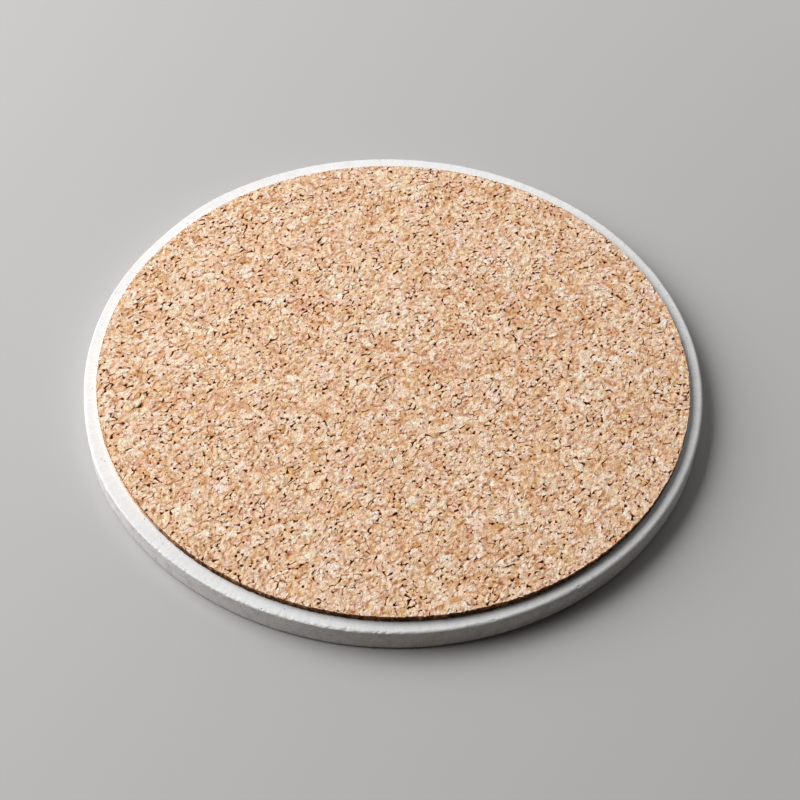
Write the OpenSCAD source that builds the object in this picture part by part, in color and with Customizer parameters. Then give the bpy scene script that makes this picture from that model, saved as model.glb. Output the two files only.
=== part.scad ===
// Round drink coaster: a cast mineral disc with a thin cork sheet bonded to its underside.
// It lies turned over, cork side up, so the smooth drink face is down at z = 0.
// The origin is the centre of the drink face, and lengths are in millimetres.

/* [Disc] */
// Diameter of the disc, at the sharp corner of the cork side
disc_d = 100; // [80:1:130]
// Thickness of the disc
disc_t = 4.4; // [3:0.1:12]
// Lean of the side wall that lets the casting leave its mould, in degrees
draft_angle = 1; // [0:0.5:5]
// Radius of the moulded edge round the drink face
drink_edge_r = 0.7; // [0.2:0.05:1.2]
// Radius of the rubbed-down edge on the cork side
cork_edge_r = 0.5; // [0.1:0.05:1]

/* [Cork] */
// Width of the rim left bare round the cork, before the cork is shifted
rim_w = 2.6; // [1.6:0.1:12]
// Thickness of the cork sheet
cork_t = 1.1; // [0.6:0.1:4]
// Lean of the burnt edge that the cutting beam leaves on the cork, in degrees
kerf_angle = 2; // [0:0.5:6]
// How far the cork was laid to the right of the disc's centre
cork_shift_x = 0.25; // [-1:0.05:1]
// How far the cork was laid behind the disc's centre
cork_shift_y = -0.6; // [-1:0.05:1]

/* [Adhesive] */
// Thickness of the adhesive film under the cork
film_t = 0.15; // [0.05:0.05:0.5]
// How far the film stops short of the edge of the cork
film_inset = 0.4; // [0:0.1:3]

/* [Hidden] */
$fn = 180;

disc_r = disc_d / 2;
drink_face_r = disc_r - disc_t * tan(draft_angle);
cork_r = disc_r - rim_w;
cork_top_r = cork_r - cork_t * tan(kerf_angle);
film_r = cork_r - film_inset;
cork_z = disc_t + film_t;

disc_colour = [0.90, 0.89, 0.87];
film_colour = [0.80, 0.76, 0.66];
cork_colour = [0.82, 0.67, 0.53];

// Radius of the leaning wall at height z, before its edges are rounded
function wall_r(z) = drink_face_r + z * tan(draft_angle);

// Centre of an edge round of radius r that touches the wall, at height z
function edge_centre(z, r) = [wall_r(z) - r / cos(draft_angle), z];

// Point where an edge round of radius r about centre c runs into the wall
function wall_touch(c, r) = c + r * [cos(draft_angle), -sin(draft_angle)];

// Half section of the disc: flat faces, a leaning wall and two tangent edge rounds
module disc_section() {
    drink_c = edge_centre(drink_edge_r, drink_edge_r);
    cork_c = edge_centre(disc_t - cork_edge_r, cork_edge_r);
    polygon([
        [0, 0],
        [drink_c.x, 0],
        wall_touch(drink_c, drink_edge_r),
        wall_touch(cork_c, cork_edge_r),
        [cork_c.x, disc_t],
        [0, disc_t]
    ]);
    translate(drink_c) circle(r = drink_edge_r);
    translate(cork_c) circle(r = cork_edge_r);
}

// Places its children on the cork's own axis, at height z
module on_cork_axis(z) {
    translate([cork_shift_x, cork_shift_y, z]) children();
}

module coaster_disc() {
    color(disc_colour) rotate_extrude() disc_section();
}

module adhesive_film() {
    color(film_colour) on_cork_axis(disc_t) cylinder(h = film_t, r = film_r);
}

module cork_backing() {
    color(cork_colour) on_cork_axis(cork_z) cylinder(h = cork_t, r1 = cork_r, r2 = cork_top_r);
}

coaster_disc();
adhesive_film();
cork_backing();
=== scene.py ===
import math

import bpy
import numpy as np
from mathutils import Matrix, Vector, noise
from mathutils.geometry import delaunay_2d_cdt


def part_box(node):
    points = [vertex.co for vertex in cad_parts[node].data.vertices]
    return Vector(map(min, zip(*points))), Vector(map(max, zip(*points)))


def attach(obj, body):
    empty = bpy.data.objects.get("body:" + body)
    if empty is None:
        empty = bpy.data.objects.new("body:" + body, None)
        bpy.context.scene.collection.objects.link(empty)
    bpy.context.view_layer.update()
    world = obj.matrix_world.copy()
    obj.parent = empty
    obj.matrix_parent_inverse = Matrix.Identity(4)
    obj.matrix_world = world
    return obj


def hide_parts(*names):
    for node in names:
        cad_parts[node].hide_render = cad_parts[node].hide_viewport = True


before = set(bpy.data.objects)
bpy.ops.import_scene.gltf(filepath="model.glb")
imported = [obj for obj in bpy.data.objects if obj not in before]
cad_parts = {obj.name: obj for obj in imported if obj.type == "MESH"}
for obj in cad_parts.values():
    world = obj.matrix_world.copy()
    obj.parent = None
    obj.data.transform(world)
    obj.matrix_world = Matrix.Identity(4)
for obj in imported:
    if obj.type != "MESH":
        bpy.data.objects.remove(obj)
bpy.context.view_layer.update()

MM = 0.001
RNG = np.random.default_rng(7)

# Camera, fitted to the edges seen in the photograph
IMAGE_SIDE_PX = 800
FOCAL_PX = 1800
SENSOR = 36
CAMERA_TARGET = Vector((1.389, -2.58, 0)) * MM
CAMERA_DISTANCE = 291.9 * MM
CAMERA_ELEVATION = math.radians(50.07)
CAMERA_ROLL = math.radians(1.97)
CLIP_START = 0.01

# Cork sheet: small cells, which join into granules
CELL_PITCH = 0.96 * MM
CELL_JITTER_SHARE = 0.56
DROPPED_SHARE = 0.16
DOUBLED_SHARE = 0.22
JOINED_SHARE = 0.3
JOINED_MOST = 4
GRAIN_ANGLE = math.radians(52)
GRAIN_STRETCH = 1.14
SNAP = 0.1 * MM
EDGE_STEP = 0.45 * MM
EDGE_WANDER_SHARE = 0.16
RIM_STEP = 0.3 * MM
KEPT_INSIDE = 0.9999
BORDER_DROP = (0.01 * MM, 0.12 * MM)
BORDER_SPREAD = (0.7, 1.3)
TOP_DROP = (0.0 * MM, 0.05 * MM)
TILT = 0.05
SEED_MARGIN = 5 * MM
CELL_MARGIN = 3 * MM

# The cork's places on the bake map: the top, the cut edge as strips of a few rows each, and the underside
TOP_MAP_MIDDLE = (0.5, 0.53)
TOP_MAP_R = 0.46
CUT_STRIPS = 4
CUT_MAP_LEFT = 0.02
CUT_MAP_LENGTH = 0.94
CUT_MAP_TOP = 0.058
CUT_MAP_PITCH = 0.014
CUT_MAP_ROW = 0.0035
UNDER_MAP_MIDDLE = (0.06, 0.93)
UNDER_MAP_SCALE = 0.8

# Openings between granules: share of the corners or borders, then smallest and largest half width and depth
PITS = (
    (0.11, (0.06 * MM, 0.05 * MM), (0.17 * MM, 0.08 * MM)),
    (0.115, (0.13 * MM, 0.14 * MM), (0.38 * MM, 0.3 * MM)),
)
WEDGES = (
    (0.10, (0.06 * MM, 0.05 * MM), (0.16 * MM, 0.08 * MM)),
    (0.105, (0.13 * MM, 0.14 * MM), (0.36 * MM, 0.3 * MM)),
)
WEDGES_ACROSS = 0.35
WEDGE_TAPER = 0.9
ALIGNED_COSINE = 0.8
WIDTH_SPREAD = (0.6, 1.4)
WIDTH_MOST = 0.5
DEEP = 0.1 * MM
# How deep a pit must be to be painted darkest, and the faint brown painted on the lip of a deep opening: both
# are painted shade over the cork's own brown
DARK_FROM = 0.16 * MM
HALO = 0.06
FOLD_TRIES = 4
PIT_REACH = 1.3
PIT_REACH_MOST = 0.7
# Small cells sunk in as lost granules: their hollow is painted dark, a painted shade over the cork's own
# brown
LOST_SHARE = 0.05
LOST_AREA = 0.3 * MM ** 2
LOST_DEPTH = 0.2 * MM
LOST_PIT = 0.7
STAINED_SHARE = 0.25
STAIN = (0.03, 0.27)
LINE_SKEW = 2.0
LINE_AT_CORNER = 0.8

# Cut edge of the cork: how ragged and notched it is, and how strongly and unevenly it is burnt, with painted
# shade that darkens it on the front and the right
RIM_SIZE = (0.1 * MM, 0.06 * MM)
NOTCH_SHARE = 0.14
NOTCH_SIZE = ((0.06 * MM, 0.15 * MM), (0.2 * MM, 0.4 * MM))
RIM_JITTER = (-0.08 * MM, 0.05 * MM)
SIDE_JITTER = (-0.07 * MM, 0.05 * MM)
CUT_ROWS = (0.35, 0.7, 1.0)
# The edge's darkening by direction is partly painted shade: full on the front and the right, away from the
# key lamp, down to this share at the left and back, and rising to full between these angles at the front left
LESS_BURN_AND_SHADE = 0.15
LESS_BURN_AND_SHADE_TO = (math.radians(-143), math.radians(-128))
RIM_BURN = (0.05, 0.5)
TOP_BURN = (0, 0.2)
RIM_PATCHES = 0.5
SIDE_PATCHES = 0.45
PATCHES_PER_MM = 0.9

# Least and most burn on the side of the cork at its top, and how much darker the side grows down to its foot
SIDE_BURN = ((0.2, 0.5), (0.75, 0.25))

# Disc, with the draft and the edge round of its solid; the casting falls short of round at the left
OUT_OF_ROUND = 0.6 * MM
OUT_OF_ROUND_FROM = (math.radians(128), math.radians(148))
OUT_OF_ROUND_TO = (math.radians(188), math.radians(212))
DRAFT = math.radians(1)
DRINK_EDGE_R = 0.7 * MM
CRISP_EDGE_R = 0.18 * MM
SOFT_EDGE_R = 0.62 * MM
SOFT_EDGE_AT = math.radians(-20)
SOFT_LEFT = 0.75
SOFT_LEFT_AT = math.radians(190)
SOFT_LEFT_WIDTH = math.radians(22)
EDGE_WAVES = ((0.35, 14), (0.5, 70))
SOFT_CALM = 0.9
DISC_SEGMENTS = 2000
FACE_SHARES = (0.3, 0.6, 0.85, 0.95, 0.98)
LOW_EDGE_STEPS = 7
WALL_STEPS = 9
TOP_EDGE_STEPS = 10
RIM_STEPS = 11
RIM_REACH = 4 * MM
UNDER_SHARES = (0.85, 0.5)
FACE_ROWS = len(FACE_SHARES)
CREASE_ROW = FACE_ROWS + LOW_EDGE_STEPS + WALL_STEPS - 2 + TOP_EDGE_STEPS // 2

# Wear of the disc: waves and grain, breaks and chips along the crease
GRAIN_FROM_Z = 0.2 * MM
GRAIN_FROM_R = 45 * MM
WALL_WAVES = 0.03 * MM
WAVES_PER_MM = 0.15
GRAIN_HEIGHT = 0.012 * MM
GRAIN_NOISE = ((1, 1.1), (0.7, 2.7))
SINKS_DOWN = 0.3 * MM
BITE = 0.21 * MM
BITE_REACH = 0.55 * MM
BITE_NOISE = ((0.35, 0.9), (0.5, 2.2), (0.5, 4.5))
CHIP_COUNT = 110
CHIP_WIDTH = (0.12 * MM, 0.36 * MM)
CHIP_DEPTH = (0.01 * MM, 0.08 * MM)
CHIP_BELOW = 0.05 * MM
CHIP_SQUASH = (1, 1, 0.7)
WORN_AT = math.radians(-98)
WORN_FOCUS = 2.5
CHIPS_SPREAD = 0.6

# The disc's places on the bake map: the rim as strips, and both flat faces, each with its middle and scale
RIM_STRIPS = 3
RIM_MAP_LEFT = 0.02
RIM_MAP_LENGTH = 0.95
RIM_MAP_FOOT = 0.006
RIM_MAP_PITCH = 0.078
RIM_MAP_HEIGHT = 0.071
DRINK_FACE_MAP = ((0.38, 0.62), 7.4)
UNDER_CORK_MAP = ((0.88, 0.88), 2)

# The shade that leaves a colour as it is
WHITE = (1, 1, 1, 1)


def srgb(red, green, blue):
    """A colour as it looks on a screen, from 0 to 255, as the linear values that shaders take."""
    shown = [c / 255 for c in (red, green, blue)]
    linear = [c / 12.92 if c <= 0.04045 else ((c + 0.055) / 1.055) ** 2.4 for c in shown]
    return (*linear, 1)


# Mesh helpers

def mesh_object(name, points, faces):
    """An object with one mesh, linked to the scene."""
    mesh = bpy.data.meshes.new(name)
    mesh.from_pydata(points, [], faces)
    mesh.update()
    made = bpy.data.objects.new(name, mesh)
    bpy.context.scene.collection.objects.link(made)
    return made


def bake_map(mesh, places):
    """Gives a mesh a map for baked textures: one place in the unit square for each corner of each face."""
    layer = mesh.uv_layers.new(name="OFBake")
    layer.data.foreach_set("uv", np.asarray(places, np.float32).ravel())


def store(mesh, name, kind, domain, values):
    """Writes one value or colour for each point, face or corner of a mesh."""
    layer = mesh.attributes.new(name, kind, domain)
    field = "color" if kind == "FLOAT_COLOR" else "value"
    layer.data.foreach_set(field, np.asarray(values, np.float32).ravel())


def layered(place, layers, start=0):
    """Noise of several sizes at a place, added up."""
    return sum((size * noise.noise(place * scale) for size, scale in layers), start)


# Cork granules

def cell_seeds(radius):
    """Points that cover a circle: a jittered triangular grid with some points taken out and some doubled."""
    row = CELL_PITCH * math.sqrt(3) / 2
    rows = int(radius / row) + 1
    columns = int(radius / CELL_PITCH) + 2
    j, i = np.meshgrid(np.arange(-rows, rows + 1), np.arange(-columns, columns + 1), indexing="ij")
    grid = np.stack([(i + (j % 2) / 2) * CELL_PITCH, j * row], -1).reshape(-1, 2)
    grid += RNG.uniform(-1, 1, grid.shape) * CELL_PITCH * CELL_JITTER_SHARE
    grid = grid[RNG.random(len(grid)) > DROPPED_SHARE]
    doubled = grid[RNG.random(len(grid)) < DOUBLED_SHARE]
    doubled = doubled + RNG.uniform(-1, 1, doubled.shape) * CELL_PITCH * CELL_JITTER_SHARE
    grid = np.concatenate([grid, doubled])
    return grid[np.hypot(*grid.T) < radius]


def crossed(a, b):
    """Cross product of the rows of two lists of plan vectors: above zero where b lies to the left of a."""
    return a[:, 0] * b[:, 1] - a[:, 1] * b[:, 0]


def circumcentres(corners):
    """Centre of the circle through the corners of each triangle."""
    a, b, c = corners[:, 0], corners[:, 1], corners[:, 2]
    ab, ac = b - a, c - a
    twice = 2 * crossed(ab, ac)
    bb, cc = (ab ** 2).sum(1), (ac ** 2).sum(1)
    x = (ac[:, 1] * bb - ab[:, 1] * cc) / twice
    y = (ab[:, 0] * cc - ac[:, 0] * bb) / twice
    return a + np.stack([x, y], 1)


def grain_stretch():
    """The map that draws the granules out along the grain."""
    c, s = math.cos(GRAIN_ANGLE), math.sin(GRAIN_ANGLE)
    turn = np.array([[c, -s], [s, c]])
    return turn @ np.diag([GRAIN_STRETCH, 1 / GRAIN_STRETCH]) @ turn.T


def mosaic_cells(radius):
    """A mosaic that covers a circle: the corner points that its cells share, and each cell's ring of them."""
    seeds = cell_seeds(radius * GRAIN_STRETCH + SEED_MARGIN)
    made = delaunay_2d_cdt([Vector(s) / MM for s in seeds], [], [], 0, 1e-6)
    seeds = np.array([tuple(v) for v in made[0]]) * MM
    triangles = np.array([f for f in made[2] if len(f) == 3])
    centres = circumcentres(seeds[triangles])
    _, corner_of = np.unique(np.round(centres / SNAP), axis=0, return_inverse=True)
    corner_of = corner_of.ravel()
    count = np.bincount(corner_of)
    corners = np.stack([np.bincount(corner_of, c) / count for c in centres.T], 1)

    around = [[] for _ in seeds]
    for number, triangle in enumerate(triangles):
        for seed in triangle:
            around[seed].append(number)
    stretch = grain_stretch()
    near = np.hypot(*(stretch @ seeds.T)) < radius + CELL_MARGIN
    cells = []
    for seed in np.flatnonzero(near):
        away = centres[around[seed]] - seeds[seed]
        order = np.argsort(np.arctan2(away[:, 1], away[:, 0]))
        ring = [int(corner_of[around[seed][k]]) for k in order]
        ring = [c for k, c in enumerate(ring) if c != ring[k - 1]]
        if len(ring) > 2:
            cells.append(ring)
    return corners @ stretch.T, cells


class Borders:
    """The borders between the granules inside a circle: their points, and how wide and deep each opens."""

    def __init__(self, radius):
        self.radius = radius
        self.corners, cells = mosaic_cells(radius)
        self.points, self.openings, self.on_rim, self.lines, self.inside = [], [], [], [], []
        self.corner_ids, self.stretches = {}, {}
        self.join_cells(cells)
        self.choose_lines()
        self.choose_openings()
        cut = [self.cut_ring(ring) for ring in cells]
        kept = [k for k, ring in enumerate(cut) if len(ring) > 2]
        self.rings = [cut[k] for k in kept]
        self.granules = [self.granule_of[k] for k in kept]

    @staticmethod
    def pair(a, b):
        """Two corners, the lower number first."""
        return (a, b) if a < b else (b, a)

    def join_cells(self, cells):
        """Joins some neighbouring cells into granules, and gives each granule the plane of its top."""
        sides = {}
        for number, ring in enumerate(cells):
            for k, corner in enumerate(ring):
                sides.setdefault(self.pair(ring[k - 1], corner), []).append(number)
        self.pairs = sorted(sides)
        self.granule_of = list(range(len(cells)))
        members = [[k] for k in range(len(cells))]
        for k in RNG.permutation(len(self.pairs)):
            found = sides[self.pairs[k]]
            a, b = self.granule_of[found[0]], self.granule_of[found[-1]]
            if a != b and RNG.random() < JOINED_SHARE and len(members[a]) + len(members[b]) <= JOINED_MOST:
                members[a] += members[b]
                for cell in members[b]:
                    self.granule_of[cell] = a
                members[b] = []
        granules = [[self.granule_of[number] for number in sides[pair]] for pair in self.pairs]
        self.inner = {p: g[0] for p, g in zip(self.pairs, granules) if len(g) == 2 and g[0] == g[1]}
        self.middles = np.zeros((len(cells), 2))
        for granule, own in enumerate(members):
            if own:
                self.middles[granule] = self.corners[[c for k in own for c in cells[k]]].mean(0)
        self.levels = RNG.uniform(*TOP_DROP, len(cells))
        self.tilts = RNG.normal(0, TILT, (len(cells), 2))

    def plane(self, granule, place):
        """How far the top of a granule lies below the sheet's highest level at some places."""
        return np.maximum(self.levels[granule] + (place - self.middles[granule]) @ self.tilts[granule], 0)

    def choose_lines(self):
        """Picks how strongly each border shows, from not at all inside a granule."""
        self.border_line = {p: 0.0 if p in self.inner else RNG.random() ** LINE_SKEW for p in self.pairs}
        self.corner_line = np.zeros(len(self.corners))
        strength = [self.border_line[p] for p in self.pairs]
        at_corners = np.repeat(strength, 2) * LINE_AT_CORNER
        np.maximum.at(self.corner_line, np.array(self.pairs).ravel(), at_corners)

    def choose_openings(self):
        """Picks the corners with a pit, and the borders, mostly along the grain, that open as a wedge."""
        count = len(self.corners)
        self.corner_opening = np.zeros((count, 2))
        for share, low, high in PITS:
            picked = RNG.random(count) < share
            size = np.array(low) + (np.array(high) - low) * RNG.random((picked.sum(), 1)) ** 2
            self.corner_opening[picked] = np.maximum(self.corner_opening[picked], size)
        ends = self.corners[np.array(self.pairs)]
        along = ends[:, 1] - ends[:, 0]
        grain = np.array([math.cos(GRAIN_ANGLE), math.sin(GRAIN_ANGLE)])
        aligned = np.abs(along @ grain) > ALIGNED_COSINE * np.hypot(*along.T)
        self.wedges = {}
        for share, low, high in WEDGES:
            share = share * np.where(aligned, 1, WEDGES_ACROSS)
            for k in np.flatnonzero(RNG.random(len(self.pairs)) < share):
                if self.pairs[k] not in self.inner:
                    self.open_wedge(self.pairs[k], np.array(low) + (np.array(high) - low) * RNG.random())

    def open_wedge(self, pair, opening):
        """Opens a border from one of its corners on, ever narrower towards the other."""
        wide = int(RNG.integers(2))
        self.wedges[pair] = wide, opening
        self.corner_opening[pair[wide]] = np.maximum(self.corner_opening[pair[wide]], opening)

    def opening_at(self, pair, share):
        """Half width and depth of the opening at a share of the length of a border."""
        if pair not in self.wedges:
            return np.zeros(2)
        wide, opening = self.wedges[pair]
        return opening * (1 - WEDGE_TAPER * abs(share - wide))

    def add_point(self, place, opening, line=0.0, on_rim=False, inside=None):
        self.points.append(place)
        self.openings.append(opening)
        self.lines.append(line)
        self.on_rim.append(on_rim)
        self.inside.append(inside)
        return len(self.points) - 1

    def rim_point(self, place):
        """A point on the cut circle, a little ragged, and here and there notched by a pit."""
        opening = RNG.uniform(*NOTCH_SIZE) if RNG.random() < NOTCH_SHARE else RIM_SIZE
        return self.add_point(place * (1 + RNG.uniform(*RIM_JITTER) / self.radius), opening, on_rim=True)

    def corner_point(self, corner):
        if corner not in self.corner_ids:
            opening, line = self.corner_opening[corner], self.corner_line[corner]
            self.corner_ids[corner] = self.add_point(self.corners[corner], opening, line)
        return self.corner_ids[corner]

    def border(self, pair):
        """The stretches of one border inside the circle, as lists of points from its lower corner on."""
        if pair not in self.stretches:
            a, b = self.corners[pair[0]], self.corners[pair[1]]
            ends = [0.0, *self.crossings(a, b), 1.0]
            self.stretches[pair] = [
                self.stretch(pair, start, stop)
                for start, stop in zip(ends, ends[1:])
                if np.hypot(*(a + (b - a) * (start + stop) / 2)) < self.radius
            ]
        return self.stretches[pair]

    def crossings(self, a, b):
        """Where the line from a to b crosses the circle, as shares of its length."""
        along = b - a
        p, q, r = along @ along, a @ along, a @ a - self.radius ** 2
        under = q * q - p * r
        if under <= 0:
            return []
        found = [(-q - math.sqrt(under)) / p, (-q + math.sqrt(under)) / p]
        return [t for t in found if 0 < t < 1]

    def shares_along(self, pair, start, stop):
        """Where points lie on a stretch of a border: at even steps, and close to each deep pit at an end."""
        length = np.hypot(*(self.corners[pair[1]] - self.corners[pair[0]]))
        steps = max(2 if pair in self.wedges else 1, round(length * (stop - start) / EDGE_STEP))
        shares = list(np.linspace(start, stop, steps + 1))
        for end, corner in enumerate(pair):
            width, depth = self.corner_opening[corner]
            reach = PIT_REACH * width / length
            fits = reach < PIT_REACH_MOST * (stop - start) / steps
            if depth > DEEP and pair not in self.wedges and fits:
                near = abs(end - reach)
                if start < near < stop:
                    shares.append(near)
        return sorted(shares)

    def stretch(self, pair, start, stop):
        """One stretch of a border: its end points, and points between them that wander off the line."""
        a, b = self.corners[pair[0]], self.corners[pair[1]]
        along = b - a
        across = np.array([-along[1], along[0]])
        ids = []
        for t in self.shares_along(pair, start, stop):
            if t == 0:
                ids.append(self.corner_point(pair[0]))
            elif t == 1:
                ids.append(self.corner_point(pair[1]))
            elif t in (start, stop):
                ids.append(self.rim_point(a + along * t))
            else:
                wander = RNG.uniform(-1, 1) * EDGE_WANDER_SHARE * min(1, 4 * t * (1 - t))
                place = a + along * t + across * wander
                place *= min(1, self.radius * KEPT_INSIDE / np.hypot(*place))
                opening, line = self.opening_at(pair, t), self.border_line[pair]
                ids.append(self.add_point(place, opening, line, inside=self.inner.get(pair)))
        return ids

    def cut_ring(self, ring):
        """The border of one cell inside the circle, anticlockwise, and closed along it where it is cut."""
        stretches = []
        for k, corner in enumerate(ring):
            pair = self.pair(ring[k - 1], corner)
            found = self.border(pair)
            stretches += found if pair[0] == ring[k - 1] else [s[::-1] for s in found[::-1]]
        around = []
        for k, stretch in enumerate(stretches):
            before = stretches[k - 1][-1]
            after = stretches[(k + 1) % len(stretches)][0]
            if before != stretch[0]:
                around += self.arc(before, stretch[0])
            around += stretch[:-1] if after == stretch[-1] else stretch
        return around

    def arc(self, start, stop):
        """Points along the circle between two points on it, anticlockwise, or none for a flipped sliver."""
        a = math.atan2(*self.points[start][::-1])
        turn = (math.atan2(*self.points[stop][::-1]) - a) % (2 * math.pi)
        if turn > math.pi:
            return []
        steps = max(1, round(turn * self.radius / RIM_STEP))
        angles = [a + turn * k / steps for k in range(1, steps)]
        return [self.rim_point(self.radius * np.array([math.cos(t), math.sin(t)])) for t in angles]


def burn_and_shade_share(x, y):
    """How strongly the cut edge is darkened, by direction: fully at the front and the right, less elsewhere.
    The burn is real; its full strength on the front and the right, which face away from the key lamp, is
    painted shade.
    """
    angle = math.atan2(y, x)
    if angle > 0:
        return LESS_BURN_AND_SHADE + (1 - LESS_BURN_AND_SHADE) * max(0, 1 - angle)
    return float(np.interp(angle, LESS_BURN_AND_SHADE_TO, (LESS_BURN_AND_SHADE, 1)))


def patchy(x, y):
    """An uneven value between about -1 and 1 at a place on the cut edge."""
    return noise.noise(Vector((x, y, 0)) / MM * PATCHES_PER_MM)


def folded(ring, inner, middle):
    """Which sides of a cell fold over, from the point before to each point, given the ring inside it."""
    before, inner_before = np.roll(ring, 1, 0), np.roll(inner, 1, 0)
    side = ring - before
    folds = crossed(inner_before - middle, inner - middle) <= 0
    folds |= (side * (inner - inner_before)).sum(1) < 0
    return folds | (crossed(side, inner - before) < 0) | (crossed(side, inner_before - before) < 0)


def shoulders(ring, middle, opening):
    """How far each point of a cell's top is set in from its border, and the place that this gives it."""
    tangent = np.roll(ring, -1, 0) - np.roll(ring, 1, 0)
    inward = np.stack([-tangent[:, 1], tangent[:, 0]], 1)
    inward /= np.maximum(np.hypot(*inward.T), 1e-9)[:, None]
    width = opening * RNG.uniform(*WIDTH_SPREAD, len(ring))
    width = np.minimum(width, WIDTH_MOST * np.hypot(*(ring - middle).T))
    shoulder = ring + inward * width[:, None]
    for _ in range(FOLD_TRIES):
        folds = folded(ring, shoulder, middle)
        width[folds | np.roll(folds, -1)] *= 0.5
        shoulder = ring + inward * width[:, None]
    return width, shoulder


class CorkMesh:
    """Points and faces of the cork sheet, with the values that its material reads."""

    def __init__(self, low, high):
        self.low, self.high = low, high
        self.radius = (high.x - low.x) / 2
        self.borders = Borders(self.radius)
        self.points, self.pit, self.burn, self.line = [], [], [], []
        self.faces, self.granules, self.map = [], [], []
        self.border_points()
        for granule, ring in zip(self.borders.granules, self.borders.rings):
            self.cell(granule, ring)
        self.cut_edge()

    def add_point(self, x, y, drop, pit=0.0, burn=0.0, line=0.0):
        self.points.append((x, y, self.high.z - drop))
        self.pit.append(pit)
        self.burn.append(burn)
        self.line.append(line)
        return len(self.points) - 1

    def add_face(self, granule, *corners):
        """Adds a face of the top, with the place of its corners on the bake map."""
        corners = list(dict.fromkeys(corners))
        if len(corners) > 2:
            self.faces.append(corners)
            self.granules.append(granule)
            scale = TOP_MAP_R / self.radius
            x0, y0 = TOP_MAP_MIDDLE
            self.map += [(x0 + self.points[k][0] * scale, y0 + self.points[k][1] * scale) for k in corners]

    def add_side(self, k, count, row, upper, lower):
        """Adds a face of the cut edge, which the bake map holds as strips."""
        self.faces.append((upper[k - 1], lower[k - 1], lower[k], upper[k]))
        self.granules.append(int(RNG.integers(len(self.borders.levels))))
        strip, place = divmod(CUT_STRIPS * k / count, 1)
        left = CUT_MAP_LEFT + CUT_MAP_LENGTH * place
        right = CUT_MAP_LEFT + CUT_MAP_LENGTH * (place + CUT_STRIPS / count)
        high = CUT_MAP_TOP - CUT_MAP_PITCH * strip - CUT_MAP_ROW * row
        low = high - CUT_MAP_ROW
        self.map += [(left, high), (left, low), (right, low), (right, high)]

    def border_points(self):
        """The points between granules: deep in an opening, nearly at the top elsewhere, and some stained."""
        made = self.borders
        low, high = BORDER_DROP
        for k, place in enumerate(made.points):
            opening, line = made.openings[k], made.lines[k]
            if made.inside[k] is None:
                drop = max(opening[1], low + (high - low) * line * RNG.uniform(*BORDER_SPREAD))
            else:
                drop = made.plane(made.inside[k], place)
            # The depth of the opening darkens the point: painted shade over the cork's own brown; the stains
            # below are the cork's own
            pit = min(1.0, opening[1] / DARK_FROM)
            if made.inside[k] is None and RNG.random() < STAINED_SHARE:
                pit = max(pit, RNG.uniform(*STAIN))
            burn = 0.0
            if made.on_rim[k]:
                # Burn, with painted shade on the front and the right
                burn = max(0, RNG.uniform(*RIM_BURN) + RIM_PATCHES * patchy(*place)) * burn_and_shade_share(*place)
            self.add_point(*place, drop, pit, burn, line)

    def cell(self, granule, ring):
        """One cell of a granule: its top, with a bevel down into each opening beside it."""
        made = self.borders
        around = np.array([made.points[k] for k in ring])
        opening = np.array([made.openings[k][0] for k in ring])
        middle = around.mean(0)
        width, shoulder = shoulders(around, middle, opening)
        area = crossed(around, np.roll(around, -1, 0)).sum() / 2
        on_rim = [made.on_rim[k] for k in ring]
        lost = area < LOST_AREA and RNG.random() < LOST_SHARE and not any(on_rim)
        drop = made.plane(granule, shoulder) + LOST_DEPTH * lost
        # A lost granule's hollow is painted dark: painted shade
        pit = LOST_PIT if lost else 0.0
        top = []
        for k, place, sunk, burnt, inset in zip(ring, shoulder, drop, on_rim, width):
            # The lip of a deep opening turns faintly brown with its depth: painted shade
            brown = max(pit, HALO * min(1.0, made.openings[k][1] / DEEP))
            top.append(self.add_point(*place, sunk, brown, RNG.uniform(*TOP_BURN) * burnt) if inset else k)
        centre = self.add_point(*middle, made.plane(granule, middle) + LOST_DEPTH * lost, pit)
        for k in range(len(ring)):
            self.add_face(granule, ring[k - 1], ring[k], top[k], top[k - 1])
            self.add_face(granule, top[k - 1], top[k], centre)

    def cut_edge(self):
        """The burnt edge that the cut leaves all round, and the flat underside."""
        place = np.array(self.borders.points)
        rim = np.flatnonzero(self.borders.on_rim)
        rim = [int(k) for k in rim[np.argsort(np.arctan2(place[rim, 1], place[rim, 0]))]]
        thickness = self.high.z - self.low.z
        upper = rim
        for row, share in enumerate(CUT_ROWS):
            # The side grows darker towards its foot
            least, most = (start + more * share for start, more in SIDE_BURN)
            lower = []
            for k in rim:
                x, y = place[k] * (self.radius + RNG.uniform(*SIDE_JITTER)) / math.hypot(*place[k])
                # Burn, with painted shade on the front and the right
                burn = (RNG.uniform(least, most) + SIDE_PATCHES * patchy(x, y)) * burn_and_shade_share(x, y)
                lower.append(self.add_point(x, y, thickness * share, burn=burn))
            for k in range(len(rim)):
                self.add_side(k, len(rim), row, upper, lower)
            upper = lower
        under = list(reversed(upper))
        self.faces.append(under)
        self.granules.append(0)
        x0, y0 = UNDER_MAP_MIDDLE
        places = [self.points[k] for k in under]
        self.map += [(x0 + UNDER_MAP_SCALE * x, y0 + UNDER_MAP_SCALE * y) for x, y, _ in places]


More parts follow.
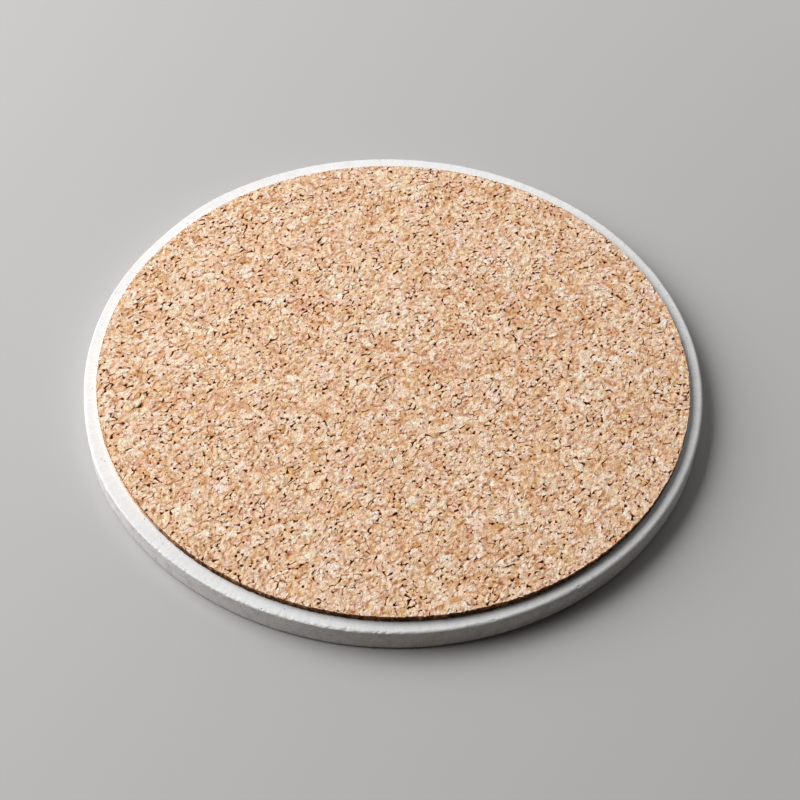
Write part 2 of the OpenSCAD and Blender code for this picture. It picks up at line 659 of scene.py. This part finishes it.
def make_cork():
    """The cork sheet: granules side by side with pits and wedges between them, and a burnt edge."""
    low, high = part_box("cork_backing")
    sheet = CorkMesh(low, high)
    middle = (low + high) / 2
    points = [(x + middle.x, y + middle.y, z) for x, y, z in sheet.points]
    cork = mesh_object("cork_sheet", points, sheet.faces)
    looks = RNG.random((len(sheet.borders.levels), 4))
    store(cork.data, "granule", "FLOAT_COLOR", "FACE", looks[sheet.granules])
    store(cork.data, "pit", "FLOAT", "POINT", sheet.pit)
    store(cork.data, "burn", "FLOAT", "POINT", sheet.burn)
    store(cork.data, "line", "FLOAT", "POINT", sheet.line)
    bake_map(cork.data, sheet.map)
    cork.data.materials.append(cork_material())
    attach(cork, "root")
    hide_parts("cork_backing")


# Cast disc

def left_softness(angle):
    """How far the cork-side edge is rubbed round at the far left, for an angle from 0 to a full turn."""
    return SOFT_LEFT * math.exp(-((angle - SOFT_LEFT_AT) / SOFT_LEFT_WIDTH) ** 2)


def edge_radius(angle):
    """Radius of the cork-side edge: crisp at the front left, rubbed round at the right and the far left."""
    softness = max((0.5 + 0.5 * math.cos(angle - SOFT_EDGE_AT)) ** 2, left_softness(angle))
    around = Vector((math.cos(angle), math.sin(angle), 0))
    wave = 1 + layered(around, EDGE_WAVES) * (1 - SOFT_CALM * softness)
    return (CRISP_EDGE_R + (SOFT_EDGE_R - CRISP_EDGE_R) * softness) * wave


def shortfall(angle):
    """How far the casting falls short of round, in the direction of an angle from 0 to a full turn."""
    starts = np.interp(angle, OUT_OF_ROUND_FROM, (0, 1))
    stops = np.interp(angle, OUT_OF_ROUND_TO, (1, 0))
    share = min(starts, stops)
    return OUT_OF_ROUND * share * share * (3 - 2 * share)


def disc_profile(radius, thickness, cork_edge_r):
    """Half section of the disc from the drink face round to under the cork, as (radius, height) points."""
    foot = radius - thickness * math.tan(DRAFT)

    def edge(height, edge_r, start, stop, steps):
        middle = foot + height * math.tan(DRAFT) - edge_r / math.cos(DRAFT)
        angles = np.linspace(start, stop, steps)
        return np.stack([middle + edge_r * np.cos(angles), height + edge_r * np.sin(angles)], 1)

    low = edge(DRINK_EDGE_R, DRINK_EDGE_R, -math.pi / 2, -DRAFT, LOW_EDGE_STEPS)
    top = edge(thickness - cork_edge_r, cork_edge_r, -DRAFT, math.pi / 2, TOP_EDGE_STEPS)
    wall = low[-1] + (top[0] - low[-1]) * np.linspace(0, 1, WALL_STEPS)[1:-1, None]
    inner = np.array([radius - RIM_REACH, thickness])
    rim = top[-1] + (inner - top[-1]) * np.linspace(0, 1, RIM_STEPS)[1:, None]
    face = np.array([(low[0][0] * t, 0) for t in FACE_SHARES])
    under = np.array([(inner[0] * t, thickness) for t in UNDER_SHARES])
    return np.concatenate([face, low, wall, top, rim, under])


def rim_grain(points, thickness):
    """How far each point of the rim sinks in: long waves, fine grain, and chips along the cork-side edge."""
    sink = np.zeros(points.shape[:2])
    for k, row in enumerate(points):
        for i, (x, y, z) in enumerate(row):
            if z > GRAIN_FROM_Z and math.hypot(x, y) > GRAIN_FROM_R:
                place = Vector((x, y, z)) / MM
                sink[k, i] = WALL_WAVES * (0.5 + 0.5 * noise.noise(place * WAVES_PER_MM))
                sink[k, i] += GRAIN_HEIGHT * layered(place, GRAIN_NOISE, 1)
    reach = math.hypot(*points[0, CREASE_ROW, :2])
    for _ in range(CHIP_COUNT):
        angle = WORN_AT + RNG.normal(0, CHIPS_SPREAD)
        width, depth = RNG.uniform(*CHIP_WIDTH), RNG.uniform(*CHIP_DEPTH)
        centre = np.array([reach * math.cos(angle), reach * math.sin(angle), thickness - CHIP_BELOW])
        away = np.linalg.norm((points - centre) / CHIP_SQUASH, axis=2) / width
        sink += depth * np.clip(1 - away ** 2, 0, 1)
    return sink


def crease_bites(points):
    """How far small breaks along the cork-side edge eat in at each point, most of all at the front left."""
    bites = np.zeros(points.shape[:2])
    for k, row in enumerate(points):
        crease = row[CREASE_ROW]
        angle = math.atan2(crease[1], crease[0]) % (2 * math.pi)
        worn = (0.5 + 0.5 * math.cos(angle - WORN_AT)) ** WORN_FOCUS * (1 - left_softness(angle) / SOFT_LEFT)
        away = np.linalg.norm(row - crease, axis=1) / BITE_REACH
        for i in np.flatnonzero(away < 1):
            place = Vector(row[i]) / MM
            bites[k, i] = BITE * worn * max(0, layered(place, BITE_NOISE)) * (1 - away[i] ** 2)
    return bites


def sinking(points, thickness):
    """The direction in which each point sinks: level towards the axis, and also down near the cork side."""
    inward = -points
    reach = np.hypot(points[:, :, 0], points[:, :, 1])
    inward[:, :, 2] = np.where(points[:, :, 2] > thickness - SINKS_DOWN, -reach, 0)
    return inward / np.linalg.norm(inward, axis=2)[:, :, None]


def disc_points(radius, thickness):
    """Points of the turned form with the wear of its rim: one row of profile points for each direction."""
    points = []
    for angle in np.linspace(0, 2 * math.pi, DISC_SEGMENTS, endpoint=False):
        r, z = disc_profile(radius - shortfall(angle), thickness, edge_radius(angle)).T
        points.append(np.stack([r * math.cos(angle), r * math.sin(angle), z], 1))
    points = np.array(points)
    sink = rim_grain(points, thickness)
    bites = crease_bites(points)
    points += sinking(points, thickness) * sink[:, :, None]
    points[:, :, :2] *= 1 - bites[:, :, None] / radius
    return points


def disc_face_place(point):
    """Place on the bake map of a point on the drink face, or on the hidden middle of the cork side."""
    x, y, z = point
    (x0, y0), scale = DRINK_FACE_MAP if z < 1 * MM else UNDER_CORK_MAP
    return x0 + scale * x, y0 + scale * y


def disc_faces(points):
    """Faces of the turned form, and the place of each of their corners on the bake map."""
    rows = points.shape[1]
    last = rows - 1 - len(UNDER_SHARES)
    along = np.concatenate([[0], np.cumsum(np.linalg.norm(np.diff(points[0], axis=0), axis=1))])
    share = (along - along[FACE_ROWS]) / (along[last] - along[FACE_ROWS])
    faces, places = [], []
    for k in range(DISC_SEGMENTS):
        after = (k + 1) % DISC_SEGMENTS
        strip, place = divmod(RIM_STRIPS * k / DISC_SEGMENTS, 1)
        left = RIM_MAP_LEFT + RIM_MAP_LENGTH * place
        right = RIM_MAP_LEFT + RIM_MAP_LENGTH * (place + RIM_STRIPS / DISC_SEGMENTS)
        foot = RIM_MAP_FOOT + RIM_MAP_PITCH * strip
        for i in range(rows - 1):
            corners = [(k, i), (after, i), (after, i + 1), (k, i + 1)]
            faces.append([segment * rows + row for segment, row in corners])
            if FACE_ROWS <= i < last:
                low, high = (foot + RIM_MAP_HEIGHT * share[j] for j in (i, i + 1))
                places += [(left, low), (right, low), (right, high), (left, high)]
            else:
                places += [disc_face_place(points[corner]) for corner in corners]
    for i, order in ((0, -1), (rows - 1, 1)):
        cap = [(k, i) for k in range(DISC_SEGMENTS)[::order]]
        faces.append([segment * rows + row for segment, row in cap])
        places += [disc_face_place(points[corner]) for corner in cap]
    return faces, places


def make_disc():
    """The cast disc: a turned form with an uneven, slightly chipped edge on the cork side."""
    low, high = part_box("coaster_disc")
    points = disc_points(max(high.x, -low.x), high.z)
    faces, places = disc_faces(points)
    disc = mesh_object("cast_disc", points.reshape(-1, 3).tolist(), faces)
    disc.data.polygons.foreach_set("use_smooth", [True] * len(faces))
    bake_map(disc.data, places)
    disc.data.materials.append(disc_material())
    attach(disc, "root")
    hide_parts("coaster_disc")


# Materials

def node(tree, kind, inputs=None, **settings):
    """Adds a node, sets its properties, and sets or links its inputs by name or number."""
    made = tree.nodes.new(kind)
    for key, value in settings.items():
        setattr(made, key, value)
    for key, value in (inputs or {}).items():
        if isinstance(value, bpy.types.NodeSocket):
            tree.links.new(value, made.inputs[key])
        else:
            made.inputs[key].default_value = value
    return made


def maths(tree, operation, a, b=0.0, c=0.0, clamp=False):
    """A number worked out from up to three others."""
    return node(tree, "ShaderNodeMath", {0: a, 1: b, 2: c}, operation=operation, use_clamp=clamp).outputs[0]


def mixed(tree, share, a, b, blend="MIX"):
    """One colour blended with another."""
    made = node(tree, "ShaderNodeMix", {0: share, 6: a, 7: b}, data_type="RGBA", blend_type=blend)
    return made.outputs[2]


def ramp(tree, share, stops):
    """The colour that a value picks from stops along a ramp."""
    made = node(tree, "ShaderNodeValToRGB", {0: share})
    band = made.color_ramp
    while len(band.elements) < len(stops):
        band.elements.new(0.5)
    for element, (place, colour) in zip(band.elements, stops):
        element.position = place
        element.color = colour
    return made.outputs[0]


def span(tree, value, low, high, to_low=0.0, to_high=1.0):
    """A value carried from one range to another, and held at its ends."""
    made = node(tree, "ShaderNodeMapRange", {0: value, 1: low, 2: high, 3: to_low, 4: to_high})
    return made.outputs[0]


def millimetres(tree):
    """Coordinates on the piece, in millimetres."""
    place = node(tree, "ShaderNodeTexCoord").outputs["Object"]
    return node(tree, "ShaderNodeVectorMath", {0: place, "Scale": 1 / MM}, operation="SCALE").outputs[0]


def speckle(tree, place, per_mm, detail=2.0, roughness=0.5):
    """Soft noise, about as fine as so many spots to a millimetre."""
    made = node(tree, "ShaderNodeTexNoise",
                {"Vector": place, "Scale": per_mm, "Detail": detail, "Roughness": roughness})
    return made.outputs[0]


def new_material(name):
    """A material, with its node tree and its shader."""
    material = bpy.data.materials.new(name)
    material.use_nodes = True
    return material, material.node_tree, material.node_tree.nodes["Principled BSDF"]


def bumped(tree, shader, height, strength, distance):
    """Gives a shader a fine relief."""
    made = node(tree, "ShaderNodeBump", {"Height": height, "Strength": strength, "Distance": distance})
    tree.links.new(made.outputs[0], shader.inputs["Normal"])


def stored(tree, name):
    """A value that the mesh holds for each of its points."""
    return node(tree, "ShaderNodeAttribute", attribute_name=name).outputs["Fac"]


def tinted(tree, colour, value, stops):
    """A colour times the shade that a ramp gives for a value."""
    return mixed(tree, 1.0, colour, ramp(tree, value, stops), "MULTIPLY")


def cork_seams(tree, place):
    """Distance to the wavy seams inside the granules."""
    swirl = node(tree, "ShaderNodeTexNoise", {"Vector": place, "Scale": 1.2, "Detail": 2.0}).outputs["Color"]
    warped = node(tree, "ShaderNodeVectorMath", {0: swirl, 1: (0.9, 0.9, 0.9), 2: place},
                  operation="MULTIPLY_ADD").outputs[0]
    return node(tree, "ShaderNodeTexVoronoi", {"Vector": warped, "Scale": 1.25},
                feature="DISTANCE_TO_EDGE").outputs["Distance"]


def cork_tones(tree, place, tone, hue):
    """Each granule's own tone with soft patches, tinted towards rose or straw, and a few towards rust."""
    patches = span(tree, speckle(tree, place, 0.75, 3, 0.6), 0.32, 0.68)
    own_tone = maths(tree, "MULTIPLY_ADD", tone, 0.55, -0.05)
    shown = maths(tree, "ADD", own_tone, maths(tree, "MULTIPLY", patches, 0.55))
    colour = ramp(tree, shown, [
        (0.00, srgb(216, 163, 116)),
        (0.14, srgb(233, 189, 148)),
        (0.30, srgb(247, 213, 179)),
        (0.50, srgb(253, 227, 202)),
        (0.68, srgb(254, 234, 213)),
        (0.84, srgb(254, 241, 226)),
        (1.00, srgb(254, 248, 240)),
    ])
    blotches = span(tree, speckle(tree, place, 0.9, 2), 0.3, 0.7)
    tint = maths(tree, "MULTIPLY", maths(tree, "ADD", hue, blotches), 0.5)
    colour = mixed(tree, span(tree, tint, 0.5, 0.84, 0, 0.5), colour, srgb(239, 196, 173))
    colour = mixed(tree, span(tree, tint, 0.46, 0.14, 0, 0.43), colour, srgb(235, 190, 135))
    return mixed(tree, span(tree, hue, 0.9, 1, 0, 0.44), colour, srgb(217, 151, 103))


def cork_shading(tree, place, colour, blush, seams, mottle):
    """An uneven blush, broken seams, mottling and fine specks over the tones."""
    blushes = span(tree, speckle(tree, place, 1.3, 2), 0.3, 0.7)
    blush = maths(tree, "MULTIPLY", maths(tree, "ADD", blush, blushes), 0.5)
    colour = tinted(tree, colour, blush, [
        (0.15, (1, 0.941, 0.985, 1)),
        (0.5, (1, 0.995, 1, 1)),
        (0.85, (0.99, 1.04, 0.985, 1)),
    ])
    seamed = tinted(tree, colour, seams, [
        (0.0, (0.67, 0.555, 0.38, 1)),
        (0.06, (0.87, 0.822, 0.732, 1)),
        (0.15, WHITE),
    ])
    broken = span(tree, speckle(tree, place, 1.1, 2), 0.4, 0.64)
    colour = mixed(tree, broken, colour, seamed)
    colour = tinted(tree, colour, mottle, [
        (0.30, (0.745, 0.638, 0.47, 1)),
        (0.46, WHITE),
        (0.75, (1.04, 1.05, 1.06, 1)),
    ])
    return tinted(tree, colour, speckle(tree, place, 4.5, 1), [
        (0.3, (0.8, 0.75, 0.67, 1)),
        (0.48, WHITE),
        (0.7, (1.05, 1.06, 1.07, 1)),
    ])


def cork_openings(tree, place, colour):
    """Brown borders between the granules, and pits that darken with their depth: the cork's own brown, with
    painted shade that deepens as the pit gets deeper.
    """
    ragged = span(tree, speckle(tree, place, 2.5, 2), 0.3, 0.7, 0.5, 1.2)
    line = maths(tree, "MULTIPLY", stored(tree, "line"), ragged, clamp=True)
    colour = mixed(tree, line, colour, srgb(183, 119, 65))
    pit = stored(tree, "pit")
    rough = span(tree, speckle(tree, place, 3.0, 2), 0.3, 0.7, -0.16, 0.16)
    pit = maths(tree, "ADD", pit, maths(tree, "MULTIPLY", rough, span(tree, pit, 0, 0.2)))
    # Brown for stains and shallow pits, then near black in deep pits: the darkening with depth is painted
    # shade over the cork's own brown
    colour = mixed(tree, span(tree, pit, 0.02, 0.22, 0, 0.9), colour, srgb(158, 81, 20))
    return mixed(tree, span(tree, pit, 0.36, 0.6), colour, srgb(54, 18, 2))


def cork_burn(tree, place, colour, tone):
    """The burnt edge, from toasted to charred; the burn value also holds painted shade, full on the front and
    the right, and the side grows darker towards its foot.
    """
    burn = stored(tree, "burn")
    scorch = maths(tree, "ADD", speckle(tree, place, 1.3, 3, 0.6), maths(tree, "MULTIPLY", tone, 0.25))
    char = ramp(tree, scorch, [(0.4, srgb(40, 20, 9)), (0.6, srgb(68, 39, 21)), (0.85, srgb(112, 73, 45))])
    toast = ramp(tree, scorch, [(0.4, srgb(96, 60, 36)), (0.85, srgb(158, 114, 78))])
    colour = mixed(tree, span(tree, burn, 0.05, 0.5), colour, toast)
    return mixed(tree, span(tree, burn, 0.45, 0.85), colour, char)


def cork_material():
    """Agglomerated cork: granules of their own tones, with brown stains, dark pits and a burnt edge; the
    pits' darkening with depth and the edge's full darkness on the front and the right are painted shade.
    """
    material, tree, shader = new_material("cork")
    place = millimetres(tree)
    looks = node(tree, "ShaderNodeAttribute", attribute_name="granule")
    tone, hue, blush = node(tree, "ShaderNodeSeparateColor", {0: looks.outputs["Color"]}).outputs[:3]
    seams = cork_seams(tree, place)
    mottle = speckle(tree, place, 1.9, 3, 0.65)
    colour = cork_tones(tree, place, tone, hue)
    colour = cork_shading(tree, place, colour, blush, seams, mottle)
    colour = cork_openings(tree, place, colour)
    colour = cork_burn(tree, place, colour, tone)
    tree.links.new(colour, shader.inputs["Base Color"])
    tree.links.new(span(tree, mottle, 0.3, 0.7, 0.8, 0.95), shader.inputs["Roughness"])
    shader.inputs["Specular IOR Level"].default_value = 0.06
    grit = maths(tree, "ADD", speckle(tree, place, 5, 2), maths(tree, "MULTIPLY", mottle, 1.5))
    grit = maths(tree, "ADD", grit, span(tree, seams, 0, 0.25))
    bumped(tree, shader, grit, 0.6, 0.08 * MM)
    return material


def rubbing_marks(tree, place):
    """Fine streaks that run out from the axis."""
    x, y, _ = node(tree, "ShaderNodeSeparateXYZ", {0: place}).outputs
    length = node(tree, "ShaderNodeVectorMath", {0: place}, operation="LENGTH").outputs["Value"]
    across = maths(tree, "MULTIPLY", maths(tree, "ARCTAN2", y, x), 70)
    along = maths(tree, "MULTIPLY", length, 0.25)
    polar = node(tree, "ShaderNodeCombineXYZ", {0: across, 1: along}).outputs[0]
    return speckle(tree, polar, 1.0, 3)


def disc_material():
    """Matte cast mineral: off-white, with grit, small pinholes painted as dark dots (painted shade, with no
    hollow in the mesh), and rubbing marks on the cork side.
    """
    material, tree, shader = new_material("cast_mineral")
    place = millimetres(tree)
    height = node(tree, "ShaderNodeSeparateXYZ", {0: place}).outputs[2]
    face = span(tree, height, 4.0, 4.3)
    cloud = speckle(tree, place, 0.12, 3)
    grit = speckle(tree, place, 3, 3, 0.65)
    wall = ramp(tree, cloud, [(0.3, srgb(230, 228, 228)), (0.7, srgb(236, 234, 234))])
    clean = ramp(tree, cloud, [(0.3, srgb(230, 230, 230)), (0.7, srgb(237, 237, 237))])
    colour = mixed(tree, face, wall, clean)
    fine = ramp(tree, grit, [(0.3, (0.91, 0.905, 0.9, 1)), (0.5, WHITE), (0.7, (1.03, 1.03, 1.03, 1))])
    coarse = ramp(tree, grit, [(0.3, (0.82, 0.81, 0.805, 1)), (0.5, WHITE), (0.7, (1.03, 1.03, 1.03, 1))])
    coarse = tinted(tree, coarse, speckle(tree, place, 0.7, 3, 0.6), [
        (0.32, (0.85, 0.835, 0.825, 1)),
        (0.5, WHITE),
        (0.68, (1.04, 1.04, 1.04, 1)),
    ])
    colour = mixed(tree, 1.0, colour, mixed(tree, face, coarse, fine), "MULTIPLY")
    rubbed = tinted(tree, colour, rubbing_marks(tree, place), [(0.3, (0.93, 0.93, 0.93, 1)), (0.55, WHITE)])
    colour = mixed(tree, face, colour, rubbed)
    # Pinholes painted as dark dots: painted shade of holes that the mesh does not have
    pinhole_shade = node(tree, "ShaderNodeTexVoronoi", {"Vector": place, "Scale": 0.8}).outputs["Distance"]
    colour = mixed(tree, span(tree, pinhole_shade, 0.09, 0.06), colour, srgb(112, 104, 96))
    tree.links.new(colour, shader.inputs["Base Color"])
    tree.links.new(span(tree, cloud, 0.3, 0.7, 0.7, 0.85), shader.inputs["Roughness"])
    shader.inputs["Specular IOR Level"].default_value = 0.3
    bumped(tree, shader, grit, 0.35, 0.05 * MM)
    return material


def film_material():
    """Pale adhesive film, a little glossy, with a faint ripple."""
    material, tree, shader = new_material("adhesive")
    place = millimetres(tree)
    ripple = speckle(tree, place, 0.5, 2)
    colour = ramp(tree, ripple, [(0.3, srgb(196, 176, 140)), (0.7, srgb(220, 204, 172))])
    tree.links.new(colour, shader.inputs["Base Color"])
    tree.links.new(span(tree, ripple, 0.3, 0.7, 0.3, 0.5), shader.inputs["Roughness"])
    bumped(tree, shader, ripple, 0.2, 0.02 * MM)
    return material


def dress_film():
    """The film keeps its solid, and gets a better material."""
    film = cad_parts["adhesive_film"]
    film.data.materials.clear()
    film.data.materials.append(film_material())


# Studio

FLOOR_HALF = 5.0
FLOOR_Z = -0.02 * MM
FLOOR_COLOUR = srgb(184, 183, 182)
FLOOR_TO_LIGHT = srgb(148, 144, 138)
BACKGROUND = srgb(206, 206, 205)
BACKGROUND_START = 0.12
BACKGROUND_FULL = 0.42
KEY = {"turn": 164.5, "rise": 40, "distance": 0.655, "size": (0.6, 0.64), "power": 7.5}
SIDE = {"turn": 54, "rise": 31, "distance": 0.32, "size": (0.32, 0.32), "power": 0.26}
FILL = 0.03
FILL_COLOUR = (1, 0.95, 0.88, 1)


def seen_directly(tree):
    """1 for rays from the camera, straight, mirrored or through glass, and 0 for rays that carry light."""
    path = node(tree, "ShaderNodeLightPath")
    mirrored = maths(tree, "MAXIMUM", path.outputs["Is Glossy Ray"], path.outputs["Is Transmission Ray"])
    return maths(tree, "MAXIMUM", path.outputs["Is Camera Ray"], mirrored)


def make_floor():
    """A plain pale floor that takes the shadow, and fades into the background farther out."""
    side = FLOOR_HALF
    corners = [(-side, -side), (side, -side), (side, side), (-side, side)]
    floor = mesh_object("floor", [(x, y, FLOOR_Z) for x, y in corners], [(0, 1, 2, 3)])
    material, tree, shader = new_material("floor")
    colour = mixed(tree, seen_directly(tree), FLOOR_TO_LIGHT, FLOOR_COLOUR)
    tree.links.new(colour, shader.inputs["Base Color"])
    shader.inputs["Roughness"].default_value = 0.9
    shader.inputs["Specular IOR Level"].default_value = 0.1
    place = node(tree, "ShaderNodeTexCoord").outputs["Object"]
    reach = node(tree, "ShaderNodeVectorMath", {0: place}, operation="LENGTH").outputs["Value"]
    share = maths(tree, "MULTIPLY", span(tree, reach, BACKGROUND_START, BACKGROUND_FULL), seen_directly(tree))
    far = node(tree, "ShaderNodeEmission", {"Color": BACKGROUND}).outputs[0]
    both = node(tree, "ShaderNodeMixShader", {0: share, 1: shader.outputs[0], 2: far}).outputs[0]
    tree.links.new(both, tree.nodes["Material Output"].inputs["Surface"])
    floor.data.materials.append(material)


def make_lamp(name, turn, rise, distance, size, power):
    """A soft lamp that faces the part, turned about the upright from +X and raised, in degrees."""
    turn, rise = math.radians(turn), math.radians(rise)
    away = Vector((math.cos(turn) * math.cos(rise), math.sin(turn) * math.cos(rise), math.sin(rise)))
    data = bpy.data.lights.new(name, "AREA")
    data.shape = "RECTANGLE"
    data.size, data.size_y = size
    data.energy = power
    lamp = bpy.data.objects.new(name, data)
    lamp.location = away * distance
    lamp.rotation_mode = "QUATERNION"
    lamp.rotation_quaternion = away.to_track_quat("Z", "Y")
    bpy.context.scene.collection.objects.link(lamp)


def make_world():
    """A weak even fill from all round, seen as a plain pale background."""
    world = bpy.data.worlds.new("studio")
    world.use_nodes = True
    tree = world.node_tree
    fill = tree.nodes["Background"]
    fill.inputs["Color"].default_value = FILL_COLOUR
    fill.inputs["Strength"].default_value = FILL
    shown = node(tree, "ShaderNodeBackground", {"Color": BACKGROUND, "Strength": 1.0}).outputs[0]
    seen = seen_directly(tree)
    both = node(tree, "ShaderNodeMixShader", {0: seen, 1: fill.outputs[0], 2: shown}).outputs[0]
    tree.links.new(both, tree.nodes["World Output"].inputs["Surface"])
    bpy.context.scene.world = world


def make_camera():
    """The photograph's view, turned a little about its own axis."""
    back = Vector((0, -math.cos(CAMERA_ELEVATION), math.sin(CAMERA_ELEVATION)))
    level = Vector((1, 0, 0))
    upright = back.cross(level)
    right = level * math.cos(CAMERA_ROLL) + upright * math.sin(CAMERA_ROLL)
    up = upright * math.cos(CAMERA_ROLL) - level * math.sin(CAMERA_ROLL)
    eye = CAMERA_TARGET + back * CAMERA_DISTANCE
    data = bpy.data.cameras.new("camera")
    data.sensor_width = SENSOR
    data.lens = FOCAL_PX / IMAGE_SIDE_PX * SENSOR
    data.clip_start = CLIP_START
    camera = bpy.data.objects.new("camera", data)
    camera.matrix_world = Matrix((right, up, back)).transposed().to_4x4()
    camera.location = eye
    bpy.context.scene.collection.objects.link(camera)
    bpy.context.scene.camera = camera


make_camera()
make_lamp("key", **KEY)
make_lamp("side", **SIDE)
make_world()
make_floor()
make_disc()
make_cork()
dress_film()
bpy.context.scene.view_settings.view_transform = "Standard"
